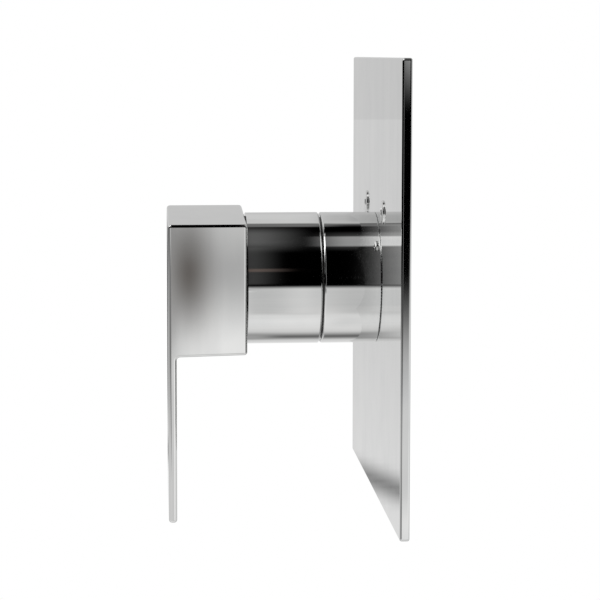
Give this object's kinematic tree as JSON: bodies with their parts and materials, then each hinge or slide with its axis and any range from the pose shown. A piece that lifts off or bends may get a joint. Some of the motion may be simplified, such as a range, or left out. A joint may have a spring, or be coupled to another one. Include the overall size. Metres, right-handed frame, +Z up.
{
  "type": "pressure balance shower valve",
  "caption": "Wall-mounted pressure balance shower valve: square chrome plate, round sleeve and hub, and a square block handle with a flat lever that turns.",
  "frame": {"origin": "where the handle's axis meets the finished wall, on the plane of the plate's back edge", "axes": "+Z up, +X to the right seen from the front, -Y out of the wall towards the user"},
  "size_m": [0.18, 0.0959, 0.1879],
  "materials": {
    "chrome_plate": "polished chrome plating",
    "brass": "machined brass",
    "black_rubber": "moulded EPDM",
    "alumina": "lapped alumina",
    "stainless_steel": "turned stainless steel",
    "pale_acetal": "moulded acetal",
    "dark_acetal": "moulded acetal"
  },
  "bodies": {
    "valve": {"wall_plate": "chrome_plate", "plate_screws": "chrome_plate", "sleeve": "chrome_plate", "valve_body": "brass", "bonnet_nut": "brass", "liner_plugs": "brass", "plate_gasket": "black_rubber", "sleeve_seal": "black_rubber", "barrel_o_rings": "black_rubber", "port_seals": "black_rubber", "base_seals": "black_rubber", "disc_gasket": "black_rubber", "fixed_disc": "alumina", "mounting_flange": "stainless_steel", "balance_liner": "stainless_steel", "cartridge_base": "pale_acetal", "cartridge_housing": "pale_acetal", "limit_ring": "pale_acetal"},
    "handle": {"lever_handle": "chrome_plate", "handle_hub": "chrome_plate", "handle_washer": "black_rubber", "hub_screws": "stainless_steel", "set_screw": "stainless_steel", "set_screw_plug": "chrome_plate", "handle_adaptor": "dark_acetal", "handle_screw": "stainless_steel", "stem": "brass", "stem_o_ring": "black_rubber", "disc_driver": "pale_acetal", "moving_disc": "alumina", "guide_ring": "dark_acetal"},
    "balance_spool": {"balance_spool": "stainless_steel"}
  },
  "joints": [
    {"name": "handle_turn", "type": "hinge", "parent": "valve", "child": "handle", "pos_m": [0, 0, 0], "axis": [0, -1, 0], "range_deg": [0, 105]},
    {"name": "spool_slide", "type": "slide", "parent": "valve", "child": "balance_spool", "axis": [1, 0, 0], "range_m": [-0.0015, 0.0015]}
  ]
}
